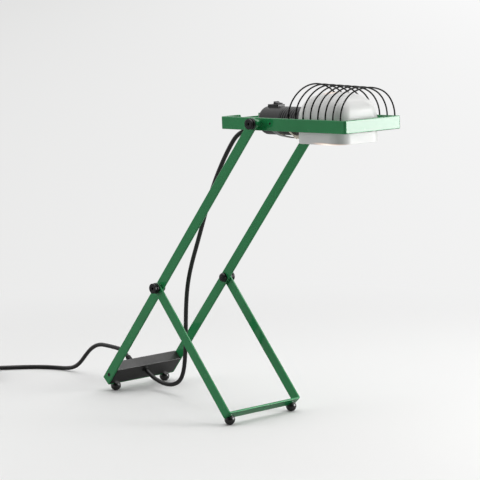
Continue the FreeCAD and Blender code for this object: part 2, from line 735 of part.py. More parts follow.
def make_box():
    bottom = -arm_to_cross + bar_thickness
    d = box_half_depth
    cover_thickness = box_wall
    shell = box((bottom, -box_half_length, -d), (box_top, box_half_length, d - cover_thickness))
    edges = [e for e in shell.Edges if e.BoundBox.YLength > box_half_length
             and abs(e.CenterOfMass.x - box_top) < 1e-6 and e.CenterOfMass.z < 0]
    shell = shell.makeFillet(0.8, edges)
    corners = [e for e in shell.Edges if abs(e.CenterOfMass.x - bottom) < 1e-6 and e.BoundBox.ZLength > d]
    shell = shell.makeFillet(box_corner, corners)
    cavity = box((bottom + box_wall, -box_half_length + box_wall, -d + box_wall),
                 (box_top - box_wall, box_half_length - box_wall, d + 1))
    shell = shell.cut(cavity)
    posts = []
    for side in (-1, 1):
        y = side * (box_half_length - box_wall - 3.5)
        post = box((box_screw_along - 4, min(y - 3.5, y + 3.5), -d + box_wall),
                   (box_screw_along + 4, max(y - 3.5, y + 3.5), d - cover_thickness))
        posts.append(post)
    for post in posts:
        shell = shell.fuse(post)
    shell = shell.removeSplitter()
    shell = shell.cut(rod_y(box_screw_radius + fit_clearance, -box_half_length - 1, box_half_length + 1,
                            x=box_screw_along).cut(box((-250, -box_half_length + 6, -50),
                                                       (-100, box_half_length - 6, 50))))
    cover = box((bottom, -box_half_length, d - cover_thickness), (box_top, box_half_length, d))
    corners = [e for e in cover.Edges if abs(e.CenterOfMass.x - bottom) < 1e-6 and e.BoundBox.YLength < 1e-6]
    cover = cover.makeFillet(box_corner, corners)
    edges = [e for e in cover.Edges if abs(e.CenterOfMass.z - d) < 1e-6]
    cover = cover.makeFillet(0.6, edges)
    entry = Part.makeCylinder(3.9, 6, Vec(cord_entry_along, cord_entry_y, -d - 3))
    shell = shell.cut(entry)
    exit_hole = Part.makeCylinder(4.4, 6, Vec(lead_exit_along, lead_exit_y, d - 4))
    cover = cover.cut(exit_hole)
    screws = []
    for side in (-1, 1):
        y = side * (box_half_length - box_wall - 3.5)
        shaft = Part.makeCylinder(1.2, 6, Vec(box_screw_along + 2.2, y, d - 6))
        dome = Part.makeCylinder(2.4, 1.2, Vec(box_screw_along + 2.2, y, d))
        slot = box((box_screw_along - 1, y - 0.35, d + 0.6), (box_screw_along + 6, y + 0.35, d + 2))
        screws.append(shaft.fuse(dome).removeSplitter().cut(slot))
        drill = Part.makeCylinder(1.2 + fit_clearance, 7, Vec(box_screw_along + 2.2, y, d - 6.05))
        shell = shell.cut(drill)
        cover = cover.cut(drill)
    return shell, cover, screws


def make_box_contents():
    bottom = -arm_to_cross + bar_thickness + box_wall
    top = box_top - box_wall
    d = box_half_depth - box_wall
    block = box((bottom + 6, 2, -d), (top - 7, 34, d - 3.5))
    for k in range(3):
        y = 7 + 11 * k
        block = block.cut(Part.makeCylinder(2.0, 5, Vec((bottom + top) / 2 - 3.2, y, d - 7)))
        block = block.cut(Part.makeCylinder(2.0, 5, Vec((bottom + top) / 2 + 3.2, y, d - 7)))
    weights = []
    for low, high in ((-47.5, -14.0), (36.5, 47.5)):
        weights.append(rounded_box((bottom, low, -d), (top, high, d - 1.0), 1.0, Vec(0, 1, 0)))
    return block, weights


def make_box_grommet():
    """A bush in the front of the box where the lamp cord enters."""
    d = box_half_depth
    at = Vec(cord_entry_along, cord_entry_y, -d)
    outer = Part.makeCone(4.4, 5.2, 2.6, at - Vec(0, 0, 2.6))
    neck = Part.makeCylinder(3.85, 3.5, at)
    return outer.fuse(neck).removeSplitter(), at - Vec(0, 0, 2.6)


def make_strain_relief():
    """A tapered boot in the cover where the mains lead leaves, ringed by grooves."""
    d = box_half_depth
    at = Vec(lead_exit_along, lead_exit_y, d)
    inside = 3.2
    neck = Part.makeCylinder(4.35, inside, at - Vec(0, 0, inside))
    taper = Part.makeCone(relief_base, relief_end, relief_length, at)
    boot = neck.fuse(taper).removeSplitter()
    for k in range(5):
        z = d + 3.2 + 3.1 * k
        ring = Part.makeCylinder(relief_base + 1, 1.2, Vec(lead_exit_along, lead_exit_y, z))
        core_radius = relief_base + (relief_end - relief_base) * (z - d) / relief_length - 0.55
        core = Part.makeCylinder(core_radius, 1.2, Vec(lead_exit_along, lead_exit_y, z))
        boot = boot.cut(ring.cut(core))
    return boot, at + Vec(0, 0, relief_length)


# Mains lead: free stretch, coil, tail and plug

coil_layer = 6.9
coil_pitch = 7.8
coil_outer = 48.5           # mid-line radius of the outermost half turn
coil_turns_in = 7           # half turns inward on the lower layer, before the climb
coil_turns_out = 6          # half turns outward on the upper layer
coil_height = 3.7           # mid-line of the lower layer, above the tie
tie_thickness = 0.6
tie_width = 10.0
tie_angle = 20.0
coil_x = -442.1
coil_y = -166.1
coil_heading = 228.5        # heading of the lead where it enters the coil, degrees from +X


def biarc(start, start_heading, end, end_heading):
    """Two arcs from start to end with the headings given."""
    span = end - start
    both = start_heading + end_heading
    spread = 2 * (1 - start_heading.dot(end_heading))
    reach = (-span.dot(both) + math.sqrt(span.dot(both) ** 2 + spread * span.dot(span))) / spread
    first_handle = start + start_heading * reach
    second_handle = end - end_heading * reach
    joint = (first_handle + second_handle) * 0.5
    edges = []
    length = 0.0
    for a, q, b in ((start, first_handle, joint), (joint, second_handle, end)):
        chord_middle = (a + b) * 0.5
        half_chord = (b - a).Length / 2
        turn = 2 * math.acos(half_chord / reach)
        radius = half_chord / math.sin(turn / 2)
        middle = chord_middle + (q - chord_middle) * (math.tan(turn / 4) / math.tan(turn / 2))
        edges.append(Part.Arc(a, middle, b).toShape())
        length += radius * turn
    return edges, length


def make_coil():
    heading = math.radians(coil_heading)
    forward = Vec(math.cos(heading), math.sin(heading), 0)
    left = Vec(-forward.y, forward.x, 0)
    centre = Vec(coil_x, coil_y, 0)
    stations = []
    radius = coil_outer
    side = -1
    height = coil_height
    for k in range(coil_turns_in + coil_turns_out + 2):
        stations.append((centre + left * (side * radius) + Vec(0, 0, height), forward * (-side)))
        side = -side
        if k < coil_turns_in:
            radius -= coil_pitch / 2
        elif k == coil_turns_in:
            height += coil_layer
        else:
            radius += coil_pitch / 2
    run = 2 * cord_radius
    first, first_heading = stations[0]
    last, last_heading = stations[-1]
    edges = [Part.LineSegment(first - first_heading * run, first).toShape()]
    length = 2 * run
    for (a, ta), (b, tb) in zip(stations, stations[1:]):
        arcs, arc_length = biarc(a, ta, b, tb)
        edges += arcs
        length += arc_length
    edges.append(Part.LineSegment(last, last + last_heading * run).toShape())
    solid = tube(edges, cord_radius)
    expected = math.pi * cord_radius ** 2 * length
    print("lead_coil length", round(length, 1), "volume ratio", round(solid.Volume / expected, 4),
          "least gap to itself", round(least_gap(edges), 2))
    return solid, length, first - first_heading * run, last + last_heading * run, first_heading, last_heading


def least_gap(edges):
    """Least distance between surfaces of turns, on points 2 mm apart along the mid-line."""
    points = []
    for edge in edges:
        count = max(2, int(edge.Length / 2))
        points += [edge.valueAt(edge.FirstParameter + (edge.LastParameter - edge.FirstParameter) * k / count)
                   for k in range(count)]
    skip = 30
    least = math.inf
    for i, a in enumerate(points):
        for b in points[i + skip:]:
            distance = (b - a).Length
            if distance < least:
                least = distance
    return least - 2 * cord_radius


def make_tie():
    """A flat strap round the coil's turns, closed on itself."""
    inner_half = coil_pitch * coil_turns_in / 4 + cord_radius + 0.9
    middle_radius = coil_outer - coil_pitch * coil_turns_in / 4
    low = tie_thickness
    high = coil_height + coil_layer + cord_radius + 0.3
    outer = rounded_box((-inner_half - tie_thickness, -tie_width / 2, 0),
                        (inner_half + tie_thickness, tie_width / 2, high + tie_thickness), 2.4, ALONG_Y)
    inner = rounded_box((-inner_half, -tie_width, low), (inner_half, tie_width, high), 1.8, ALONG_Y)
    strap = outer.cut(inner)
    strap.translate(Vec(middle_radius, 0, 0))
    strap.rotate(Vec(0, 0, 0), Vec(0, 0, 1), tie_angle)
    strap.translate(Vec(coil_x, coil_y, 0))
    return strap


plug_thickness = 13.7
plug_length = 27.0
plug_half_width = 17.6
plug_boot = 14.0
pin_radius = 2.0
pin_reach = 19.0
pin_sleeve = 10.0
pin_half_spacing = 9.3
plug_x = -509.4
plug_y = -173.3
plug_turn = 226.0


def make_plug():
    """Flat two-pin plug along +X with its cord entry at the origin."""
    h = plug_thickness / 2
    w = plug_half_width
    front = plug_boot + plug_length
    outline = [(plug_boot, -7.5, -h), (plug_boot + 4, -9.0, -h), (front - 9, -w, -h), (front, -w, -h),
               (front, w, -h), (front - 9, w, -h), (plug_boot + 4, 9.0, -h), (plug_boot, 7.5, -h)]
    body = Part.Face(polygon(outline)).extrude(Vec(0, 0, 2 * h))
    flats = [e for e in body.Edges if abs(abs(e.CenterOfMass.z) - h) < 1e-6 and e.BoundBox.ZLength < 1e-6]
    body = body.makeFillet(2.2, flats)
    boot = Part.makeCone(3.9, 5.6, plug_boot + 1, Vec(0, 0, 0), Vec(1, 0, 0))
    for k in range(3):
        x = 3.0 + 3.4 * k
        ring = rod_x(8, x, x + 1.3).cut(rod_x(3.9 + 1.7 * x / plug_boot - 0.6, x, x + 1.3))
        boot = boot.cut(ring)
    body = body.fuse(boot).removeSplitter()
    pins = []
    for side in (-1, 1):
        y = side * pin_half_spacing
        sleeve = rod_x(pin_radius, front - 1, front + pin_sleeve, y=y)
        body = body.fuse(sleeve)
        pin = rod_x(pin_radius - 0.5, front - 8, front + pin_reach, y=y)
        tip = rod_x(pin_radius, front + pin_sleeve, front + pin_reach, y=y)
        tip = tip.makeChamfer(0.7, [e for e in tip.Edges if abs(e.CenterOfMass.x - front - pin_reach) < 1e-6])
        core = box((front - 9, y - 5, -5), (front + pin_sleeve + 1, y + 5, 5))
        pin = pin.common(core).fuse(tip).removeSplitter()
        pins.append(pin)
        body = body.cut(rod_x(pin_radius - 0.5, front - 8, front + pin_sleeve, y=y))
    return body.removeSplitter(), pins


# Routes, from the lamp outward

def lamp_cord_route(start, start_heading, end, end_heading):
    return [start, start + start_heading * 11.0, Vec(19.3, -17.6, 391.9), Vec(6.9, -22.0, 384.3),
            Vec(-3.9, -24.4, 368.5), Vec(-19.7, -25.0, 344.5), Vec(-39.7, -24.0, 311.0),
            Vec(-58.2, -22.5, 270.0), Vec(-75.2, -21.0, 231.5), Vec(-91.5, -19.5, 196.0),
            Vec(-101.5, -18.0, 167.0), Vec(-107.2, -16.0, 137.0), Vec(-111.2, -13.5, 105.5),
            Vec(-116.7, -10.0, 73.5), Vec(-125.2, -6.5, 45.0), Vec(-137.7, -4.2, 25.0),
            Vec(-155.7, -3.3, 15.3), Vec(-173.5, -3.0, 11.9), Vec(-188.8, -3.3, 13.1),
            end - end_heading * 13.0, end]


def mains_lead_route(start, start_heading, end, end_heading):
    return [start, start + start_heading * 13.0, Vec(-273.7, -8.3, 51.8), Vec(-291.5, -10.5, 52.2),
            Vec(-309.7, -12.5, 49.6), Vec(-326.0, -14.5, 41.4), Vec(-339.5, -16.0, 29.0),
            Vec(-351.0, -17.0, 16.2), Vec(-364.0, -18.8, 7.0), Vec(-380.2, -22.0, 3.4),
            Vec(-400.0, -31.0, 3.1), Vec(-421.0, -49.0, 3.1), Vec(-438.5, -74.0, 3.2),
            Vec(-452.0, -98.0, 3.5), end - end_heading * 14, end]


def lead_tail_route(start, start_heading, end, end_heading):
    """Off the upper layer and down to the plug that lies beside the coil."""
    return [start, start + start_heading * 12.0, end - end_heading * 12.0, end]


def main():
    main_frame = placed(make_main_frame(), arm_placement)
    leg_frame = placed(make_leg_frame(), leg_placement)
    bolt, washer, nut, outer_knob = make_knee_set()
    knee_move = FreeCAD.Placement(knee, FreeCAD.Rotation())
    nodes = {}

    def pair(shape, placement):
        return [placed(s, placement) for s in both_sides(shape)]

    nodes["knee_bolts"] = pair(bolt, knee_move)
    nodes["knee_washers"] = pair(washer, knee_move)
    nodes["knee_nuts"] = pair(nut, arm_placement)
    nodes["knee_knobs"] = pair(outer_knob, knee_move)

    for name, placement, face, across, y, sign in (
            ("front", leg_placement, leg_to_cross, front_foot_across, front_foot_y, 1),
            ("rear", arm_placement, -arm_to_cross, rear_foot_across, rear_foot_y, -1)):
        inner_side = face - sign * bar_thickness
        ball, screw = foot(placement, inner_side, across, y, sign)
        if name == "front":
            leg_frame = leg_frame.cut(screw).cut(mirrored(screw))
            ball = ball.cut(leg_frame).cut(screw)
        else:
            main_frame = main_frame.cut(screw).cut(mirrored(screw))
            ball = ball.cut(main_frame).cut(screw)
        nodes[name + "_feet"] = both_sides(ball)
        nodes[name + "_foot_screws"] = both_sides(screw)
    nodes["main_frame"] = [main_frame]
    nodes["front_leg_frame"] = [leg_frame]

    shell, cover, screws = make_box()
    block, weights = make_box_contents()
    nodes["box_housing"] = [placed(shell, arm_placement)]
    nodes["box_cover"] = [placed(cover, arm_placement)]
    nodes["box_cover_screws"] = [placed(s, arm_placement) for s in screws]
    nodes["terminal_block"] = [placed(block, arm_placement)]
    nodes["ballast_blocks"] = [placed(w, arm_placement) for w in weights]
    end_screw = set_screw(8.0, box_screw_radius, arm_half_outer)
    end_screw.translate(Vec(box_screw_along, 0, 0))
    nodes["box_end_screws"] = pair(end_screw, arm_placement)

    nodes["head_frame"] = [placed(make_head_frame(), head_placement)]
    nodes["guard_wires"] = [placed(w, head_placement) for w in make_guard()]
    nodes["shade"] = [placed(make_shade(), head_placement)]
    nodes["vent_collar"] = [placed(make_collar(), head_placement)]
    nodes["holder_body"] = [placed(make_holder_body(), head_placement)]
    nodes["holder_sleeve"] = [placed(make_holder_sleeve(), head_placement)]
    nodes["holder_insert"] = [placed(make_holder_insert(), head_placement)]
    nodes["holder_contacts"] = [placed(s, head_placement) for s in make_holder_contacts()]
    glass, cap = make_bulb()
    nodes["bulb_glass"] = [placed(glass, head_placement)]
    nodes["bulb_cap"] = [placed(cap, head_placement)]
    strap, saddle, strap_bolt = make_strap()
    nodes["holder_strap"] = [placed(strap, head_placement)]
    nodes["strap_boss"] = [placed(saddle, head_placement)]
    strap_screw = set_screw(6.0, strap_screw_radius, head_half_outer)
    strap_screw.translate(Vec(strap_x, 0, 0))
    nodes["strap_screws"] = pair(strap_screw, head_placement) + [placed(strap_bolt, head_placement)]
    nodes["switch_rocker"] = [placed(make_rocker(), head_placement)]
    pin = rod_y(rocker_pin_radius, -rocker_pin_half, rocker_pin_half, x=rocker_x, z=rocker_z)
    nodes["rocker_pin"] = [placed(pin, head_placement)]

    spacer = rod_y(spacer_radius, head_half_outer, arm_half_inner - side_gap)
    spacer = spacer.cut(rod_y(bolt_radius + fit_clearance, head_half_outer - 1, arm_half_inner))
    head_bolt = rod_y(bolt_radius, head_half_inner - 1, head_knob_inner_y + knob_bore_depth - 0.1)
    bolt_head = turned_y([(head_half_inner, 0), (head_half_inner, 4.6), (head_half_inner - 1.8, 4.6),
                          (head_half_inner - 2.8, 3.4), (head_half_inner - 2.8, 0)])
    head_bolt = head_bolt.fuse(bolt_head).removeSplitter()
    nodes["head_spacers"] = pair(spacer, head_placement)
    nodes["head_bolts"] = pair(head_bolt, head_placement)
    nodes["head_knobs"] = pair(knob(head_knob_inner_y), head_placement)

    bush, cord_start = make_holder_grommet()
    nodes["holder_grommet"] = [bush]
    grommet, entry = make_box_grommet()
    nodes["box_grommet"] = [placed(grommet, arm_placement)]
    box_back = arm_placement.Rotation.multVec(Vec(0, 0, 1))
    cord, _ = cord_tube("lamp_cord", lamp_cord_route(cord_start, grommet_heading,
                                                     arm_placement.multVec(entry), box_back))
    nodes["lamp_cord"] = [cord]

    relief, lead_start = make_strain_relief()
    nodes["mains_relief"] = [placed(relief, arm_placement)]
    coil, coil_length, coil_from, coil_to, from_heading, to_heading = make_coil()
    lead, free_length = cord_tube("mains_lead", mains_lead_route(arm_placement.multVec(lead_start), box_back,
                                                                 coil_from, from_heading))
    heading = math.radians(plug_turn)
    plug_heading = Vec(math.cos(heading), math.sin(heading), 0)
    plug_at = Vec(plug_x, plug_y, plug_thickness / 2)
    tail, tail_length = cord_tube("lead_tail", lead_tail_route(coil_to, to_heading, plug_at, plug_heading))
    body, pins = make_plug()
    plug_placement = FreeCAD.Placement(plug_at, FreeCAD.Rotation(Vec(0, 0, 1), plug_turn))
    nodes["mains_lead"] = [lead]
    nodes["lead_coil"] = [coil]
    nodes["lead_tail"] = [tail]
    nodes["coil_tie"] = [make_tie()]
    nodes["plug_body"] = [placed(body, plug_placement)]
    nodes["plug_pins"] = [placed(p, plug_placement) for p in pins]
    total = free_length + coil_length + tail_length
    print("mains lead in all", round(total, 1), "wanted", lead_length)

    for name, solids in nodes.items():
        shape = solids[0] if len(solids) == 1 else Part.makeCompound(solids)
        count = sum(len(s.Solids) for s in solids)
        valid = all(s.isValid() for s in solids)
        if count != len(solids) or not valid:
            print("look at", name, "solids", count, "of", len(solids), "valid", valid)
        shape.exportStep("parts/" + name + ".step")
    print(len(nodes), "nodes; knee", knee, "head axis", head_axis)


main()
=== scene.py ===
import math
import bmesh
import bpy
from mathutils import Matrix, Vector


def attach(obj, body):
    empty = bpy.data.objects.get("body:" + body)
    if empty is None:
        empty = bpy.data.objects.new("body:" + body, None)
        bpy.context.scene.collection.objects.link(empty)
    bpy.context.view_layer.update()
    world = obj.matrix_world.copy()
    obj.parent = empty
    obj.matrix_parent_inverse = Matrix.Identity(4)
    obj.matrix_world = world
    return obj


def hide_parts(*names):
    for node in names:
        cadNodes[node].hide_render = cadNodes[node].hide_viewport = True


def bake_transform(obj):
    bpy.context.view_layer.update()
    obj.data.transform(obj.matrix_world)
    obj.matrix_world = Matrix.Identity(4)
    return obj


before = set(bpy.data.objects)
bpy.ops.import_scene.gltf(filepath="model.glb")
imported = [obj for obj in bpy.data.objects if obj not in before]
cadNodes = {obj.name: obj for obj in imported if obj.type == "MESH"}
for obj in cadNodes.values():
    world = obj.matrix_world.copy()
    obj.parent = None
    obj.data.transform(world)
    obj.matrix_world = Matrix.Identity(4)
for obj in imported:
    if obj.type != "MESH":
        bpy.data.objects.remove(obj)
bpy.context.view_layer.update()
print("frame loaded:", len(cadNodes), "nodes")


# The camera stands where the photograph was taken from
cameraSet = {
    "place": (2.066099, -1.836546, 0.689767),
    "right": (0.6627099, 0.7488674, -0.0036349),
    "up": (-0.1177807, 0.1090209, 0.9870371),
    "lens": 155.943, "sensor": 36.0,
    "nearest": 0.1, "furthest": 60.0,
}


def makeCamera():
    data = bpy.data.cameras.new("lampView")
    data.lens = cameraSet["lens"]
    data.sensor_width = cameraSet["sensor"]
    data.clip_start, data.clip_end = cameraSet["nearest"], cameraSet["furthest"]
    camera = bpy.data.objects.new("lampView", data)
    bpy.context.scene.collection.objects.link(camera)
    right, up = Vector(cameraSet["right"]), Vector(cameraSet["up"])
    turn = Matrix((right, up, right.cross(up))).transposed().to_4x4()
    camera.matrix_world = Matrix.Translation(cameraSet["place"]) @ turn
    bpy.context.scene.camera = camera


makeCamera()
print("camera set")


# Node groups for the finishes: every one puts out colours, masks or normals only
white, black = (1, 1, 1, 1), (0, 0, 0, 1)
patternSet = {                      # each a noise, and how its middle is spread out as a mask
    "drift": ({"Detail": 3.0, "Roughness": 0.6}, {"From Min": 0.34, "From Max": 0.66}),
    "coarse": ({"Scale": 60.0, "Detail": 2.0}, {"From Min": 0.3, "From Max": 0.7}),
    "speck": ({"Scale": 260.0, "Detail": 5.0, "Roughness": 0.7},
              {"From Min": 0.42, "From Max": 0.7, "To Min": 0.25, "To Max": 1.0}),
    "patch": ({"Scale": 90.0, "Detail": 4.0, "Roughness": 0.65},
              {"From Min": 0.38, "From Max": 0.62, "To Min": 0.35, "To Max": 1.0}),
}
grainSet = {"noise": {"Detail": 4.0, "Roughness": 0.55}, "height": 0.0004}
dustSet = {"colour": (0.6, 0.58, 0.55, 1), "slope": {"From Min": 0.3, "From Max": 1.0}}
edgeWearAndSheenSet = {"radius": 0.0008, "samples": 4, "edge": {"From Min": 0.995, "From Max": 0.90}}


def newGroup(name, inputs, outputs):
    group = bpy.data.node_groups.new(name, "ShaderNodeTree")
    for label, value in inputs.items():
        kind = "Float" if isinstance(value, float) else {3: "Vector", 4: "Color"}[len(value)]
        socket = group.interface.new_socket(name=label, in_out="INPUT", socket_type="NodeSocket" + kind)
        socket.default_value = value
    for label, kind in outputs.items():
        group.interface.new_socket(name=label, in_out="OUTPUT", socket_type="NodeSocket" + kind)
    return group, group.nodes.new("NodeGroupInput"), group.nodes.new("NodeGroupOutput")


def addNode(tree, kind, values=(), **settings):
    node = tree.nodes.new("ShaderNode" + kind)
    for key, value in settings.items():
        setattr(node, key, value)
    for key, value in dict(values).items():
        node.inputs[key].default_value = value
    return node


def objectPlace(tree):
    return addNode(tree, "TexCoord").outputs["Object"]


def addPattern(tree, name):
    noiseValues, spread = patternSet[name]
    noise = addNode(tree, "TexNoise", noiseValues)
    mask = addNode(tree, "MapRange", spread)
    tree.links.new(objectPlace(tree), noise.inputs["Vector"])
    tree.links.new(noise.outputs["Fac"], mask.inputs["Value"])
    return noise, mask


def layOver(tree, inlet, outlet, cover, place, pattern):
    # the cover colour shows where both the place's mask and the pattern do, by the amount asked for
    both = addNode(tree, "Math", operation="MULTIPLY")
    share = addNode(tree, "Math", operation="MULTIPLY")
    mix = addNode(tree, "Mix", data_type="RGBA")
    link = tree.links.new
    link(place.outputs["Result"], both.inputs[0])
    link(pattern.outputs["Result"], both.inputs[1])
    link(both.outputs["Value"], share.inputs[0])
    link(inlet.outputs["Amount"], share.inputs[1])
    link(share.outputs["Value"], mix.inputs["Factor"])
    link(inlet.outputs["Color"], mix.inputs["A"])
    link(inlet.outputs[cover], mix.inputs["B"])
    link(mix.outputs["Result"], outlet.inputs["Color"])


def makeToneDrift():
    # slow change of colour over a surface
    tree, inlet, outlet = newGroup("toneDrift", {"Light": white, "Dark": black, "Scale": 20.0},
                                   {"Color": "Color"})
    noise, mask = addPattern(tree, "drift")
    mix = addNode(tree, "Mix", data_type="RGBA")
    link = tree.links.new
    link(inlet.outputs["Scale"], noise.inputs["Scale"])
    link(mask.outputs["Result"], mix.inputs["Factor"])
    link(inlet.outputs["Dark"], mix.inputs["A"])
    link(inlet.outputs["Light"], mix.inputs["B"])
    link(mix.outputs["Result"], outlet.inputs["Color"])
    return tree


def makeFineSkin():
    # grain as a normal, and a roughness that follows a coarser pattern
    tree, inlet, outlet = newGroup("fineSkin", {"Scale": 900.0, "Depth": 0.05, "Smooth": 0.3, "Rough": 0.5},
                                   {"Normal": "Vector", "Roughness": "Float"})
    grain = addNode(tree, "TexNoise", grainSet["noise"])
    bump = addNode(tree, "Bump", {"Distance": grainSet["height"]})
    level = addPattern(tree, "coarse")[1]
    link = tree.links.new
    link(objectPlace(tree), grain.inputs["Vector"])
    link(inlet.outputs["Scale"], grain.inputs["Scale"])
    link(inlet.outputs["Depth"], bump.inputs["Strength"])
    link(grain.outputs["Fac"], bump.inputs["Height"])
    link(inlet.outputs["Smooth"], level.inputs["To Min"])
    link(inlet.outputs["Rough"], level.inputs["To Max"])
    link(bump.outputs["Normal"], outlet.inputs["Normal"])
    link(level.outputs["Result"], outlet.inputs["Roughness"])
    return tree


def makeDustFilm():
    # a little dust on what faces up
    tree, inlet, outlet = newGroup("dustFilm", {"Color": black, "Dust": dustSet["colour"], "Amount": 0.05},
                                   {"Color": "Color"})
    facing = addNode(tree, "NewGeometry")
    split = addNode(tree, "SeparateXYZ")
    upward = addNode(tree, "MapRange", dustSet["slope"])
    tree.links.new(facing.outputs["Normal"], split.inputs["Vector"])
    tree.links.new(split.outputs["Z"], upward.inputs["Value"])
    layOver(tree, inlet, outlet, "Dust", upward, addPattern(tree, "speck")[1])
    return tree


def makeEdgeWearAndSheen():
    # edges lighter, partly rubbed wear and partly a painted highlight: the rounded normal departs from the
    # true one only near an edge
    tree, inlet, outlet = newGroup("edgeWearAndSheen", {"Color": black, "WornAndSheen": white, "Amount": 0.3},
                                   {"Color": "Color"})
    rounded = addNode(tree, "Bevel", {"Radius": edgeWearAndSheenSet["radius"]}, samples=edgeWearAndSheenSet["samples"])
    actual = addNode(tree, "NewGeometry")
    alike = addNode(tree, "VectorMath", operation="DOT_PRODUCT")
    edge = addNode(tree, "MapRange", edgeWearAndSheenSet["edge"])
    tree.links.new(rounded.outputs["Normal"], alike.inputs[0])
    tree.links.new(actual.outputs["Normal"], alike.inputs[1])
    tree.links.new(alike.outputs["Value"], edge.inputs["Value"])
    layOver(tree, inlet, outlet, "WornAndSheen", edge, addPattern(tree, "patch")[1])
    return tree


def makePaintedGlowPatch():
    # painted lamplight round one place, as an emission mask: full at its centre, gone at its reach
    tree, inlet, outlet = newGroup("glowPatch", {"Centre": (0, 0, 0), "Stretch": (1, 1, 1), "Reach": 0.01,
                                                 "Strength": 1.0}, {"Glow": "Float"})
    offset = addNode(tree, "VectorMath", operation="SUBTRACT")
    scaled = addNode(tree, "VectorMath", operation="MULTIPLY")
    away = addNode(tree, "VectorMath", operation="LENGTH")
    near = addNode(tree, "MapRange", {"To Min": 1.0, "To Max": 0.0}, interpolation_type="SMOOTHSTEP")
    bright = addNode(tree, "Math", operation="MULTIPLY")
    link = tree.links.new
    link(objectPlace(tree), offset.inputs[0])
    link(inlet.outputs["Centre"], offset.inputs[1])
    link(offset.outputs["Vector"], scaled.inputs[0])
    link(inlet.outputs["Stretch"], scaled.inputs[1])
    link(scaled.outputs["Vector"], away.inputs[0])
    link(away.outputs["Value"], near.inputs["Value"])
    link(inlet.outputs["Reach"], near.inputs["From Max"])
    link(near.outputs["Result"], bright.inputs[0])
    link(inlet.outputs["Strength"], bright.inputs[1])
    link(bright.outputs["Value"], outlet.inputs["Glow"])
    return tree


groups = {tree.name: tree for tree in (makeToneDrift(), makeFineSkin(), makeDustFilm(), makeEdgeWearAndSheen(),
                                       makePaintedGlowPatch())}
print("finish groups built")


# Colours of the lamp's own light, painted as an emitted glow where it falls on a piece, from its dim border
# to its bright middle
lampLight = {"warm": (1.0, 0.45, 0.22, 1), "pale": (1.0, 0.90, 0.76, 1)}
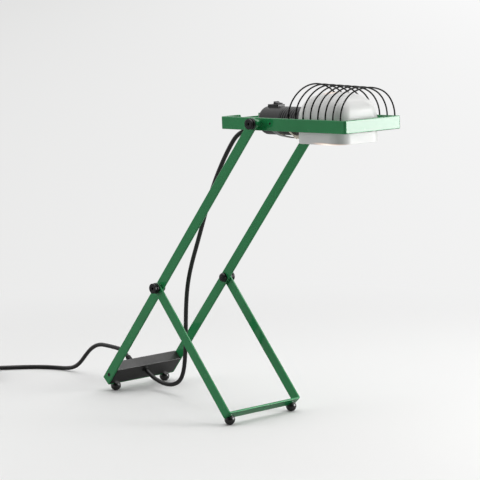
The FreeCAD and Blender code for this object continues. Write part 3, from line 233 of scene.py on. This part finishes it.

# Finishes: light and dark tone, drift scale, grain scale and depth, roughness range, dust, edge wear with
# painted edge highlight
finishes = {
    "greenEnamel": {"light": (0.021, 0.278, 0.088), "dark": (0.018, 0.243, 0.076), "drift": 14, "grain": 700,
                    "depth": 0.10, "smooth": 0.20, "rough": 0.28, "dust": 0.02, "coat": 1.0, "specular": 0.15,
                    "wornAndSheen": (0.25, 0.52, 0.36), "wearAndSheen": 0.35},
    "litShade": {"light": (0.82, 0.82, 0.81), "dark": (0.79, 0.79, 0.775), "drift": 18, "grain": 800,
                 "depth": 0.08, "smooth": 0.32, "rough": 0.42, "dust": 0.02, "coat": 0.1,
                 "wornAndSheen": (0.86, 0.86, 0.85), "wearAndSheen": 0.2},
    "blackEnamel": {"light": (0.005, 0.005, 0.005), "dark": (0.003, 0.003, 0.003), "drift": 20, "grain": 900,
                    "depth": 0.10, "smooth": 0.36, "rough": 0.48, "dust": 0.0, "specular": 0.12,
                    "wornAndSheen": (0.03, 0.03, 0.03), "wearAndSheen": 0.2},
    "glossBlack": {"light": (0.010, 0.010, 0.010), "dark": (0.006, 0.006, 0.006), "drift": 20, "grain": 900,
                   "depth": 0.05, "smooth": 0.12, "rough": 0.20, "dust": 0.0, "coat": 1.0,
                   "wornAndSheen": (0.04, 0.04, 0.04), "wearAndSheen": 0.2},
    # the box's pale edge colour is mostly a painted highlight along its edges
    "boxEnamel": {"light": (0.026, 0.025, 0.025), "dark": (0.017, 0.017, 0.017), "drift": 24, "grain": 1200,
                  "depth": 0.35, "smooth": 0.32, "rough": 0.44, "dust": 0.05, "coat": 0.25,
                  "wornAndSheen": (0.14, 0.14, 0.14), "wearAndSheen": 0.5},
    "mouldedBlack": {"light": (0.014, 0.014, 0.015), "dark": (0.009, 0.009, 0.010), "drift": 40,
                     "grain": 1500, "depth": 0.25, "smooth": 0.32, "rough": 0.46, "dust": 0.03,
                     "specular": 0.4, "wornAndSheen": (0.06, 0.06, 0.06), "wearAndSheen": 0.3},
    "blackResin": {"light": (0.020, 0.019, 0.020), "dark": (0.013, 0.013, 0.013), "drift": 30, "grain": 1000,
                   "depth": 0.15, "smooth": 0.28, "rough": 0.42, "dust": 0.03, "coat": 0.1,
                   "wornAndSheen": (0.07, 0.07, 0.07), "wearAndSheen": 0.3},
    "glazedCream": {"light": (0.76, 0.72, 0.62), "dark": (0.70, 0.66, 0.56), "drift": 30, "grain": 500,
                    "depth": 0.08, "smooth": 0.22, "rough": 0.36, "dust": 0.02, "coat": 0.3,
                    "wornAndSheen": (0.84, 0.82, 0.76), "wearAndSheen": 0.3},
    "blackRubber": {"light": (0.012, 0.012, 0.012), "dark": (0.007, 0.007, 0.007), "drift": 50, "grain": 1800,
                    "depth": 0.35, "smooth": 0.38, "rough": 0.58, "dust": 0.03,
                    "wornAndSheen": (0.05, 0.05, 0.05), "wearAndSheen": 0.2},
    "footRubber": {"light": (0.016, 0.015, 0.015), "dark": (0.010, 0.010, 0.010), "drift": 50, "grain": 1500,
                   "depth": 0.15, "smooth": 0.22, "rough": 0.34, "dust": 0.03, "coat": 0.7,
                   "wornAndSheen": (0.05, 0.05, 0.05), "wearAndSheen": 0.2},
    "leadSheath": {"light": (0.018, 0.017, 0.017), "dark": (0.011, 0.011, 0.011), "drift": 30, "grain": 900,
                   "depth": 0.12, "smooth": 0.34, "rough": 0.46, "dust": 0.03, "coat": 0.15,
                   "wornAndSheen": (0.05, 0.05, 0.05), "wearAndSheen": 0.1},
    "zincSteel": {"light": (0.60, 0.60, 0.60), "dark": (0.50, 0.50, 0.51), "drift": 60, "grain": 1600,
                  "depth": 0.20, "smooth": 0.26, "rough": 0.42, "dust": 0.02, "metal": 1.0,
                  "wornAndSheen": (0.75, 0.75, 0.75), "wearAndSheen": 0.3},
    "darkSteel": {"light": (0.10, 0.10, 0.105), "dark": (0.06, 0.06, 0.065), "drift": 60, "grain": 1600,
                  "depth": 0.20, "smooth": 0.28, "rough": 0.45, "dust": 0.02, "metal": 1.0,
                  "wornAndSheen": (0.35, 0.35, 0.35), "wearAndSheen": 0.4},
    "bareBrass": {"light": (0.76, 0.56, 0.24), "dark": (0.66, 0.46, 0.18), "drift": 60, "grain": 1400,
                  "depth": 0.15, "smooth": 0.24, "rough": 0.38, "dust": 0.01, "metal": 1.0,
                  "wornAndSheen": (0.85, 0.68, 0.36), "wearAndSheen": 0.3},
    "nickel": {"light": (0.74, 0.72, 0.68), "dark": (0.62, 0.60, 0.56), "drift": 60, "grain": 1400,
               "depth": 0.10, "smooth": 0.16, "rough": 0.30, "dust": 0.01, "metal": 1.0,
               "wornAndSheen": (0.85, 0.84, 0.80), "wearAndSheen": 0.3},
}
# litCream is glazed cream with a painted glow: emitted light on the louvred saddle, standing in for lamplight
# through its louvres
finishes["litCream"] = {**finishes["glazedCream"], "glow": 0.22}      # lamplight through the louvres


def addFinishGroup(tree, name, values):
    return addNode(tree, "Group", values, node_tree=groups[name])


def makeFinish(name):
    look = finishes[name]
    material = bpy.data.materials.new(name)
    material.use_nodes = True
    tree = material.node_tree
    shader = tree.nodes["Principled BSDF"]
    drift = addFinishGroup(tree, "toneDrift", {"Light": (*look["light"], 1), "Dark": (*look["dark"], 1),
                                               "Scale": look["drift"]})
    skin = addFinishGroup(tree, "fineSkin", {"Scale": look["grain"], "Depth": look["depth"],
                                             "Smooth": look["smooth"], "Rough": look["rough"]})
    dust = addFinishGroup(tree, "dustFilm", {"Amount": look["dust"]})
    wearAndSheen = addFinishGroup(tree, "edgeWearAndSheen", {"WornAndSheen": (*look["wornAndSheen"], 1), "Amount": look["wearAndSheen"]})
    shader.inputs["Metallic"].default_value = look.get("metal", 0.0)
    shader.inputs["Coat Weight"].default_value = look.get("coat", 0.0)
    shader.inputs["Specular IOR Level"].default_value = look.get("specular", 0.5)
    if "glow" in look:
        shader.inputs["Emission Color"].default_value = lampLight["pale"]
        shader.inputs["Emission Strength"].default_value = look["glow"]
    link = tree.links.new
    link(drift.outputs["Color"], wearAndSheen.inputs["Color"])
    link(wearAndSheen.outputs["Color"], dust.inputs["Color"])
    link(dust.outputs["Color"], shader.inputs["Base Color"])
    link(skin.outputs["Roughness"], shader.inputs["Roughness"])
    link(skin.outputs["Normal"], shader.inputs["Normal"])
    return material


materials = {name: makeFinish(name) for name in finishes}


# The lit bulb: frosted glass that glows in two tones
bulbLook = {
    "glass": (0.95, 0.92, 0.86, 1), "warm": (1.0, 0.80, 0.52, 1), "pale": (1.0, 0.90, 0.72, 1),
    "drift": 30.0, "rough": 0.35, "strength": 2.2,
}


def makeBulbGlass():
    material = bpy.data.materials.new("frostedBulb")
    material.use_nodes = True
    tree = material.node_tree
    shader = tree.nodes["Principled BSDF"]
    drift = addFinishGroup(tree, "toneDrift", {"Light": bulbLook["pale"], "Dark": bulbLook["warm"],
                                               "Scale": bulbLook["drift"]})
    shader.inputs["Base Color"].default_value = bulbLook["glass"]
    shader.inputs["Roughness"].default_value = bulbLook["rough"]
    shader.inputs["Emission Strength"].default_value = bulbLook["strength"]
    tree.links.new(drift.outputs["Color"], shader.inputs["Emission Color"])
    return material


materials["frostedBulb"] = makeBulbGlass()


# Painted lamplight on the shade: an emitted glow round the vent on its top and along its lower edge
paintedGlowSet = {
    "vent": {"Centre": (0.1725, -0.008, 0.4530), "Stretch": (1.0, 1.0, 1.0), "Reach": 0.014,
             "Strength": 0.50},
    "edge": {"Centre": (0.2030, -0.0370, 0.38909), "Stretch": (1.0, 1.0, 16.0), "Reach": 0.036,
             "Strength": 1.0},
}


def paintGlowOnShade():
    tree = materials["litShade"].node_tree
    vent = addFinishGroup(tree, "glowPatch", paintedGlowSet["vent"]).outputs["Glow"]
    edge = addFinishGroup(tree, "glowPatch", paintedGlowSet["edge"]).outputs["Glow"]
    total = addNode(tree, "Math", operation="ADD")
    colour = addNode(tree, "Mix", {"A": lampLight["warm"], "B": lampLight["pale"]}, data_type="RGBA")
    glow = addNode(tree, "VectorMath", operation="SCALE")
    shader = tree.nodes["Principled BSDF"]
    shader.inputs["Emission Strength"].default_value = 1.0
    link = tree.links.new
    link(vent, total.inputs[0])
    link(edge, total.inputs[1])
    link(edge, colour.inputs["Factor"])
    link(colour.outputs["Result"], glow.inputs[0])
    link(total.outputs["Value"], glow.inputs["Scale"])
    link(glow.outputs["Vector"], shader.inputs["Emission Color"])


paintGlowOnShade()
print("finishes made:", len(materials))


# Which finish each carried-over node gets
nodeFinish = {
    "greenEnamel": ["main_frame", "front_leg_frame", "head_frame", "head_spacers"],
    "litShade": ["shade"],
    "blackEnamel": ["guard_wires"],
    "glossBlack": ["holder_strap"],
    "boxEnamel": ["box_housing", "box_cover"],
    "mouldedBlack": ["head_knobs", "knee_nuts", "knee_knobs", "coil_tie", "plug_body",
                     # box_end_screws and strap_screws are steel finished black: painted shade for the dark
                     # holes they sit in
                     "box_end_screws", "strap_screws"],
    "blackResin": ["holder_body", "holder_sleeve", "switch_rocker"],
    "glazedCream": ["vent_collar", "holder_insert", "terminal_block"],
    "litCream": ["strap_boss"],
    "blackRubber": ["holder_grommet", "box_grommet", "mains_relief"],
    "footRubber": ["front_feet", "rear_feet"],
    "leadSheath": ["lamp_cord", "mains_lead", "lead_coil", "lead_tail"],
    "zincSteel": ["ballast_blocks", "rocker_pin", "knee_washers", "front_foot_screws", "rear_foot_screws"],
    "darkSteel": ["head_bolts", "knee_bolts", "box_cover_screws"],
    "bareBrass": ["holder_contacts"],
    "nickel": ["bulb_cap", "plug_pins"],
    "frostedBulb": ["bulb_glass"],
}


def dress(piece, finish):
    piece.data.materials.clear()
    piece.data.materials.append(materials[finish])


for finish, names in nodeFinish.items():
    for name in names:
        dress(cadNodes[name], finish)
print("nodes dressed")


# Modelling helpers: a primitive at its size, then work in edit mode on what is picked by place
helperSet = {
    "slack": 0.00004,           # how near to its place an edge lies when it is picked
    "smoothUnder": 35,          # degrees between faces that are shaded as one
}
otherSide = Matrix.Scale(-1, 4, Vector((0, 1, 0)))      # far side to near side of the lamp


def pick(kind, test):
    bpy.ops.mesh.select_mode(type=kind)
    bpy.ops.mesh.select_all(action="DESELECT")
    mesh = bpy.context.object.data
    shape = bmesh.from_edit_mesh(mesh)
    for item in {"EDGE": shape.edges, "FACE": shape.faces}[kind]:
        if test(item):
            item.select_set(True)
    shape.select_flush_mode()
    bmesh.update_edit_mesh(mesh)


def drawOut(axis, steps, radius, centre):
    # each step goes on along the axis and ends at the radius it names
    axis, centre = Vector(axis), Vector(centre)
    for advance, wider in steps:
        bpy.ops.mesh.extrude_region_move(TRANSFORM_OT_translate={"value": axis * advance})
        centre = centre + axis * advance
        if wider != radius:
            bpy.ops.transform.resize(value=[1 if abs(a) > 0.5 else wider / radius for a in axis],
                                     center_override=centre)
            radius = wider


def startTurned(name, shape, axis, foot):
    # a cylinder that stands on its foot, with its end face drawn out to the turned shape
    axis, foot, height = Vector(axis), Vector(foot), shape["height"]
    bpy.ops.object.select_all(action="DESELECT")
    bpy.ops.mesh.primitive_cylinder_add(vertices=shape["sides"], radius=shape["radius"], depth=height,
                                        location=foot + axis * height / 2,
                                        rotation=(math.radians(-90) * axis.y, 0, 0))
    piece = bpy.context.object
    piece.name = piece.data.name = name
    bpy.ops.object.transform_apply(location=True, rotation=True, scale=True)
    bpy.ops.object.mode_set(mode="EDIT")
    pick("FACE", lambda f: f.normal.dot(axis) > 0.9)
    drawOut(axis, shape["face"], shape["radius"], foot + axis * height)
    return piece


def isRing(edge, place, radius, centre):
    # an edge of a piece turned about Y, at one place along its axis and one distance from it
    for vert in edge.verts:
        away = vert.co - centre
        if abs(away.y - place) > helperSet["slack"] or abs(away.xz.length - radius) > helperSet["slack"]:
            return False
    return True


def finishPiece(piece, finish, slot, body, *nodes, move=None):
    if piece.mode == "EDIT":
        bpy.ops.mesh.select_all(action="SELECT")
        bpy.ops.mesh.normals_make_consistent(inside=False)
        bpy.ops.object.mode_set(mode="OBJECT")
    if move is not None:
        piece.data.transform(move)
    bpy.ops.object.select_all(action="DESELECT")
    bpy.context.view_layer.objects.active = piece
    piece.select_set(True)
    bpy.ops.object.shade_smooth_by_angle(angle=math.radians(helperSet["smoothUnder"]))
    dress(piece, finish)
    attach(piece, body)
    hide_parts(*nodes)


def copyPiece(piece, name, move):
    twin = bpy.data.objects.new(name, piece.data.copy())
    twin.data.name = name
    twin.data.transform(move)
    if move.determinant() < 0:
        twin.data.flip_normals()
    bpy.context.scene.collection.objects.link(twin)
    return twin


# The four pivot knobs: a black cap with a grooved flange and a small dark hole
knobSet = {
    "kneeFoot": (-0.1117, 0.0653, 0.1674), "headFoot": (0.08192, 0.0613, 0.408215),
    "sides": 56, "radius": 0.0073, "height": 0.0030,
    "face": [(0, 0.0061), (0.0009, 0.0061), (0, 0.0070), (0.0033, 0.0070), (0, 0.0040), (-0.0005, 0.0036),
             (0, 0.0019), (-0.0026, 0.0019)],
    "rings": [(0.0, 0.0073), (0.0030, 0.0073), (0.0039, 0.0070), (0.0072, 0.0070)],
    "soften": 0.00045, "softenSteps": 3,
}


def makeKnobs():
    knee, head = Vector(knobSet["kneeFoot"]), Vector(knobSet["headFoot"])
    knob = startTurned("kneeKnobFar", knobSet, (0, 1, 0), knee)
    for place, radius in knobSet["rings"]:
        pick("EDGE", lambda e: isRing(e, place, radius, knee))
        bpy.ops.mesh.bevel(offset=knobSet["soften"], segments=knobSet["softenSteps"], affect="EDGES")
    finishPiece(knob, "mouldedBlack", "black_plastic", "base", "knee_knobs")
    upward = Matrix.Translation(head - knee)
    for name, move, body, node in (("kneeKnobNear", otherSide, "base", "knee_knobs"),
                                   ("headKnobFar", upward, "head", "head_knobs"),
                                   ("headKnobNear", otherSide @ upward, "head", "head_knobs")):
        finishPiece(copyPiece(knob, name, move), "mouldedBlack", "black_plastic", body, node)
    print("knobs modelled")


makeKnobs()


# The two screws through the frame's ends into the box: low heads with a hollow, finished black as painted
# shade for the dark holes seen there
endScrewSet = {
    "place": (-0.22542, 0.0610, 0.02595), "sides": 32, "radius": 0.0027, "height": 0.00025,
    "face": [(0, 0.0021), (0.0001, 0.0020), (0, 0.0013), (-0.0011, 0.0011)],
}


def makeEndScrews():
    screw = startTurned("endScrewFar", endScrewSet, (0, 1, 0), endScrewSet["place"])
    finishPiece(screw, "mouldedBlack", "dark_steel", "base", "box_end_screws")
    finishPiece(copyPiece(screw, "endScrewNear", otherSide), "mouldedBlack", "dark_steel", "base",
                "box_end_screws")
    print("end screws modelled")


makeEndScrews()


# Strain relief where the mains lead leaves the box: flange, taper and five ribs, a mouth for the cord
reliefSet = {
    "place": (-0.23448, -0.0070, 0.02746), "lean": -51.2,
    "sides": 48, "radius": 0.0052, "height": 0.0014, "end": 0.0039, "length": 0.020,
    "rib": 0.0019, "groove": 0.0012, "depth": 0.0006, "mouth": 0.0031, "mouthDepth": 0.002,
    "soften": 0.00022, "softenSteps": 2, "slack": 0.0001,
}


def makeRelief():
    r = reliefSet

    def radiusAt(z):
        return r["radius"] + (r["end"] - r["radius"]) * z / r["length"]

    def isRim(edge):
        # an edge that goes round a rib at its full width
        one, other = (vert.co for vert in edge.verts)
        return (one.z > r["slack"] and abs(one.z - other.z) < r["slack"]
                and abs(one.xy.length - other.xy.length) < r["slack"]
                and abs(one.xy.length - radiusAt(one.z)) < r["slack"])

    z = r["height"]
    steps = [(0, radiusAt(z) - r["depth"])]
    while z + r["groove"] + r["rib"] < r["length"]:
        steps += [(r["groove"], radiusAt(z + r["groove"]) - r["depth"]), (0, radiusAt(z + r["groove"]))]
        z += r["groove"] + r["rib"]
        steps += [(r["rib"], radiusAt(z)), (0, radiusAt(z) - r["depth"])]
    steps += [(r["length"] - z, r["end"]), (0, r["mouth"]), (-r["mouthDepth"], r["mouth"])]
    relief = startTurned("leadRelief", {**r, "face": steps}, (0, 0, 1), (0, 0, 0))
    pick("EDGE", isRim)
    bpy.ops.mesh.bevel(offset=r["soften"], segments=r["softenSteps"], affect="EDGES")
    finishPiece(relief, "blackRubber", "black_rubber", "base", "mains_relief",
                move=Matrix.Translation(r["place"]) @ Matrix.Rotation(math.radians(r["lean"]), 4, "Y"))
    print("strain relief modelled")


makeRelief()


# Cords: a spline through given points, thickened after its length is taken
cordSet = {"radius": 0.003, "order": 3, "resolution": 10, "round": 5}


def makeRoute(name, points):
    curve = bpy.data.curves.new(name, "CURVE")
    curve.dimensions = "3D"
    curve.resolution_u = cordSet["resolution"]
    spline = curve.splines.new("NURBS")
    spline.points.add(len(points) - 1)
    for handle, place in zip(spline.points, points):
        handle.co = (*place, 1)
    spline.order_u = cordSet["order"]
    spline.use_endpoint_u = True
    piece = bpy.data.objects.new(name, curve)
    bpy.context.scene.collection.objects.link(piece)
    return piece


def thicken(route):
    route.data.bevel_depth = cordSet["radius"]
    route.data.bevel_resolution = cordSet["round"]
    route.data.use_fill_caps = True


def centreLine(route):
    bpy.context.view_layer.update()
    line = bpy.data.meshes.new_from_object(route)
    places = [v.co.copy() for v in line.vertices]
    bpy.data.meshes.remove(line)
    return places


def lengthOf(places):
    return sum((b - a).length for a, b in zip(places, places[1:]))


lampCordSet = {
    "points": [(0.0377, -0.0071, 0.4006), (0.0289, -0.0128, 0.3973), (0.0193, -0.0176, 0.3919),
               (0.0069, -0.0220, 0.3843), (-0.0039, -0.0244, 0.3685), (-0.0197, -0.0250, 0.3445),
               (-0.0397, -0.0240, 0.3110), (-0.0582, -0.0225, 0.2700), (-0.0752, -0.0210, 0.2315),
               (-0.0915, -0.0195, 0.1960), (-0.1015, -0.0180, 0.1670), (-0.1072, -0.0160, 0.1370),
               (-0.1112, -0.0135, 0.1055), (-0.1162, -0.0100, 0.0735), (-0.1232, -0.0065, 0.0440),
               (-0.1340, -0.0042, 0.0242), (-0.1510, -0.0033, 0.0149), (-0.1690, -0.0030, 0.0126),
               (-0.1855, -0.0033, 0.0147), (-0.2000, -0.0040, 0.0196), (-0.2115, -0.0040, 0.0263)],
    "bendFrom": (-0.0752, -0.0210, 0.2315),     # a point on the cord low on the arm
    "bendTo": (0.0289, -0.0128, 0.3973),        # a point on the cord near the lampholder
}


def makeLampCord():
    route = makeRoute("lampCordRoute", lampCordSet["points"])
    path = centreLine(route)
    thicken(route)
    bpy.context.view_layer.update()
    cord = bpy.data.objects.new("lampCord", bpy.data.meshes.new_from_object(route))
    bpy.context.scene.collection.objects.link(cord)
    bpy.data.objects.remove(route)
    for face in cord.data.polygons:
        face.use_smooth = True
    dress(cord, "leadSheath")
    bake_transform(cord)
    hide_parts("lamp_cord")


makeLampCord()


mainsLeadSet = {
    "free": [(-0.2501, -0.0070, 0.0400), (-0.2602, -0.0070, 0.0481), (-0.2737, -0.0083, 0.0494),
             (-0.2915, -0.0105, 0.0501), (-0.3097, -0.0125, 0.0502), (-0.3265, -0.0145, 0.0422),
             (-0.3395, -0.0160, 0.0290), (-0.3510, -0.0170, 0.0162), (-0.3640, -0.0188, 0.0070),
             (-0.3802, -0.0220, 0.0034), (-0.4000, -0.0310, 0.0031), (-0.4210, -0.0490, 0.0031),
             (-0.4385, -0.0740, 0.0032), (-0.4520, -0.0980, 0.0035), (-0.4651, -0.1190, 0.0037)],
    "tail": [(-0.4875, -0.1500, 0.0106), (-0.5011, -0.1647, 0.00685), (-0.5094, -0.1733, 0.00685)],
    "coilPlace": (-0.4421, -0.1661), "coilHeading": 228.5,
    "outer": 0.0485, "pitch": 0.0078, "layer": 0.0069, "low": 0.0037,
    "halfTurnsIn": 7, "halfTurnsOut": 6, "perHalfTurn": 7,
}


def coilPoints():
    # inward on the lower layer, up, and outward on the upper one
    s = mainsLeadSet
    centreX, centreY = s["coilPlace"]
    step = math.pi / s["perHalfTurn"]
    swell = 1 / math.cos(step / 2)            # the spline runs a little inside its points
    start = math.radians(s["coilHeading"] - 90)
    halfTurns = s["halfTurnsIn"] + 1 + s["halfTurnsOut"]
    points = []
    for k in range(1, halfTurns * s["perHalfTurn"]):
        turned = k / s["perHalfTurn"]
        inward = min(turned, s["halfTurnsIn"])
        outward = max(0.0, turned - s["halfTurnsIn"] - 1)
        climb = min(max(turned - s["halfTurnsIn"], 0.0), 1.0)
        radius = (s["outer"] - s["pitch"] / 2 * (inward - outward)) * swell
        height = s["low"] + s["layer"] * climb * climb * (3 - 2 * climb)
        angle = start + k * step
        points.append((centreX + radius * math.cos(angle), centreY + radius * math.sin(angle), height))
    return points


def makeMainsLead():
    points = mainsLeadSet["free"] + coilPoints() + mainsLeadSet["tail"]
    lead = makeRoute("mainsLead", points)
    length = lengthOf(centreLine(lead))
    thicken(lead)
    lead.data.materials.append(materials["leadSheath"])
    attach(lead, "base")
    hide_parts("mains_lead", "lead_coil", "lead_tail")
    print("mains lead", round(length, 4))


makeMainsLead()
print("cords laid")


# Floor and backdrop in one sheet: lit near the lamp, pale further off, where the backdrop's glow carries
# painted shade, darker toward the left of the picture and lighter toward the right
floorSet = {
    "size": 70.0, "lit": 0.50, "gone": 1.0, "albedo": (0.82, 0.82, 0.815), "bounce": 0.40,
    "rough": 0.75, "specular": 0.2,
    "left": (0.77, 0.77, 0.765, 1), "right": (0.95, 0.95, 0.95, 1), "ramp": 1.6,
}


def makeFloor():
    bpy.ops.mesh.primitive_plane_add(size=floorSet["size"], location=(0, 0, 0))
    floor = bpy.context.object
    floor.name = "studioFloor"
    material = bpy.data.materials.new("studioFloor")
    material.use_nodes = True
    tree = material.node_tree
    link = tree.links.new
    shader = tree.nodes["Principled BSDF"]
    shader.inputs["Roughness"].default_value = floorSet["rough"]
    shader.inputs["Specular IOR Level"].default_value = floorSet["specular"]
    place = objectPlace(tree)
    far = addNode(tree, "VectorMath", operation="LENGTH")
    link(place, far.inputs[0])
    fade = addNode(tree, "MapRange", {"From Min": floorSet["lit"], "From Max": floorSet["gone"]},
                   interpolation_type="SMOOTHSTEP")
    link(far.outputs["Value"], fade.inputs["Value"])
    along = addNode(tree, "VectorMath", operation="DOT_PRODUCT")
    along.inputs[1].default_value = (cameraSet["right"][0], cameraSet["right"][1], 0)
    link(place, along.inputs[0])
    side = addNode(tree, "MapRange", {"From Min": -floorSet["ramp"], "From Max": floorSet["ramp"]})
    link(along.outputs["Value"], side.inputs["Value"])
    # painted shade across the backdrop: its tone runs from the darker left to the lighter right
    tone = addNode(tree, "Mix", {"A": floorSet["left"], "B": floorSet["right"]}, data_type="RGBA")
    link(side.outputs["Result"], tone.inputs["Factor"])
    backdrop = addNode(tree, "Emission")
    link(tone.outputs["Result"], backdrop.inputs["Color"])
    rays = addNode(tree, "LightPath")
    thrown = addNode(tree, "MapRange", {"To Min": floorSet["bounce"], "To Max": 1.0})    # full for the camera
    paint = addNode(tree, "VectorMath", operation="SCALE")
    paint.inputs[0].default_value = floorSet["albedo"]
    link(rays.outputs["Is Camera Ray"], thrown.inputs["Value"])
    link(thrown.outputs["Result"], paint.inputs["Scale"])
    link(paint.outputs["Vector"], shader.inputs["Base Color"])
    link(thrown.outputs["Result"], backdrop.inputs["Strength"])
    mix = addNode(tree, "MixShader")
    link(fade.outputs["Result"], mix.inputs["Fac"])
    link(shader.outputs["BSDF"], mix.inputs[1])
    link(backdrop.outputs["Emission"], mix.inputs[2])
    link(mix.outputs["Shader"], tree.nodes["Material Output"].inputs["Surface"])
    floor.data.materials.append(material)


makeFloor()


# Soft studio light: a panel at the right of the picture, a fill at its left, a wide soft sheet overhead,
# and a pale surround that grows dark toward the camera's side
lightSet = {
    "lamps": [
        {"name": "sidePanel", "place": (1.263, 1.358, 0.50), "aim": (0.2, 0.0, 0.36),
         "size": (0.78, 0.84), "power": 24.0, "mirrored": True},
        {"name": "leftFill", "place": (-1.15, -1.64, 0.70), "aim": (0.0, 0.0, 0.28),
         "size": (1.1, 1.1), "power": 9.5, "mirrored": False},
        {"name": "overhead", "place": (0.35, 0.35, 2.30), "aim": (0.0, 0.0, 0.0),
         "size": (2.4, 2.4), "power": 27.0, "mirrored": True},
    ],
    "surround": 0.86, "dark": 0.0, "darkFrom": -0.3, "darkTo": 0.85, "darkToward": (0.80, -0.58, 0.14),
    "seen": (0.90, 0.90, 0.90, 1),
}


def makeLamps():
    for lamp in lightSet["lamps"]:
        data = bpy.data.lights.new(lamp["name"], "AREA")
        data.shape = "RECTANGLE"
        data.size, data.size_y = lamp["size"]
        data.energy = lamp["power"]
        piece = bpy.data.objects.new(lamp["name"], data)
        bpy.context.scene.collection.objects.link(piece)
        piece.visible_glossy = lamp["mirrored"]
        toward = Vector(lamp["aim"]) - Vector(lamp["place"])
        turn = toward.to_track_quat("-Z", "Y").to_matrix().to_4x4()
        piece.matrix_world = Matrix.Translation(lamp["place"]) @ turn


def makeSurround():
    world = bpy.data.worlds.new("surround")
    bpy.context.scene.world = world
    world.use_nodes = True
    tree = world.node_tree
    link = tree.links.new
    lit = tree.nodes["Background"]
    lit.inputs["Color"].default_value = white
    heading = addNode(tree, "TexCoord")
    toDark = addNode(tree, "VectorMath", operation="DOT_PRODUCT")
    toDark.inputs[1].default_value = Vector(lightSet["darkToward"]).normalized()
    dim = addNode(tree, "MapRange", {"From Min": lightSet["darkFrom"], "From Max": lightSet["darkTo"],
                                     "To Min": lightSet["surround"], "To Max": lightSet["dark"]})
    link(heading.outputs["Generated"], toDark.inputs[0])
    link(toDark.outputs["Value"], dim.inputs["Value"])
    link(dim.outputs["Result"], lit.inputs["Strength"])
    seen = addNode(tree, "Background", {"Color": lightSet["seen"], "Strength": 1.0})
    rays = addNode(tree, "LightPath")
    mix = addNode(tree, "MixShader")
    link(rays.outputs["Is Camera Ray"], mix.inputs["Fac"])
    link(lit.outputs["Background"], mix.inputs[1])
    link(seen.outputs["Background"], mix.inputs[2])
    link(mix.outputs["Shader"], tree.nodes["World Output"].inputs["Surface"])


makeLamps()
makeSurround()
bpy.context.scene.view_settings.view_transform = "Standard"
print("floor and lights set")
